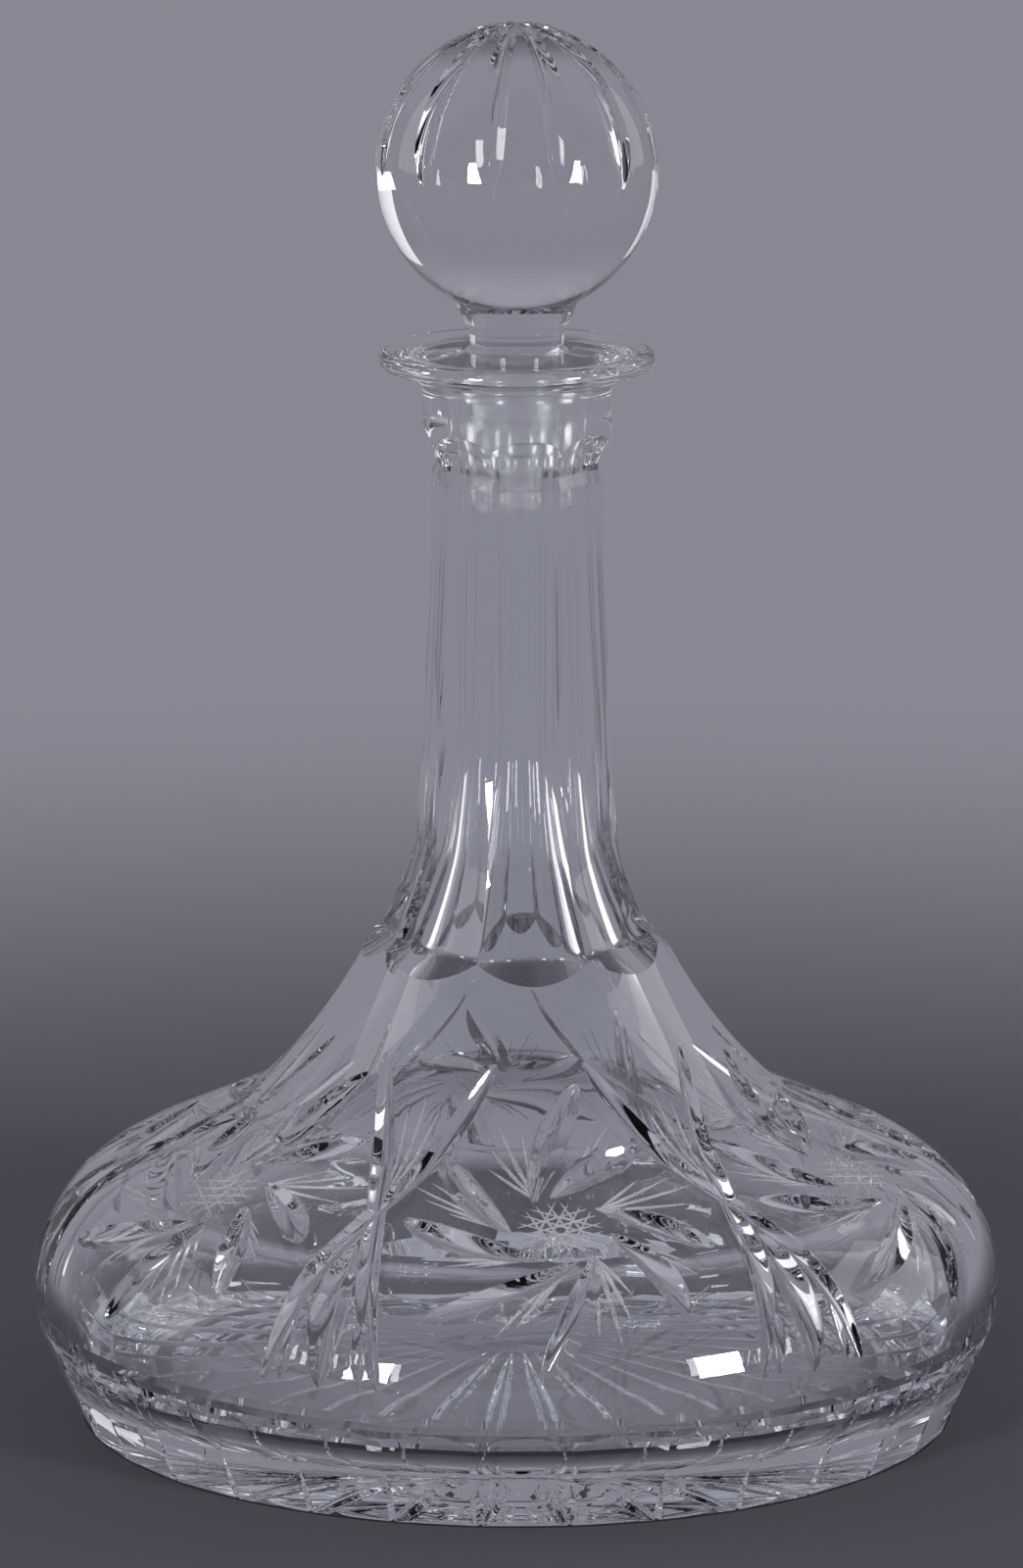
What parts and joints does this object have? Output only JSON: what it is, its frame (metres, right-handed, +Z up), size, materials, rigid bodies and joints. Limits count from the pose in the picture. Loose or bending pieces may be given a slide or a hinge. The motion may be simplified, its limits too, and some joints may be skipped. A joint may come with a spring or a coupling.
{
  "type": "ships decanter",
  "caption": "Wide-based cut-glass ships decanter with a fluted neck, flared lip, pinwheel-cut shoulder, panelled foot and a lift-out ball stopper.",
  "frame": {"origin": "centre of the underside of the foot", "axes": "+Z up along the bottle's axis, -Y towards the middle of the front pinwheel, +X to the right of that front"},
  "size_m": [0.19, 0.19, 0.2746],
  "materials": {
    "cut_glass": "clear, polished, with crisp wheel cuts",
    "stopper_glass": "clear and polished, with a ground peg"
  },
  "bodies": {
    "decanter": {"decanter": "cut_glass"},
    "stopper": {"stopper": "stopper_glass"}
  },
  "joints": [
    {"name": "stopper_lift", "type": "slide", "parent": "decanter", "child": "stopper", "axis": [0, 0, 1], "range_m": [0, 0.05]}
  ]
}
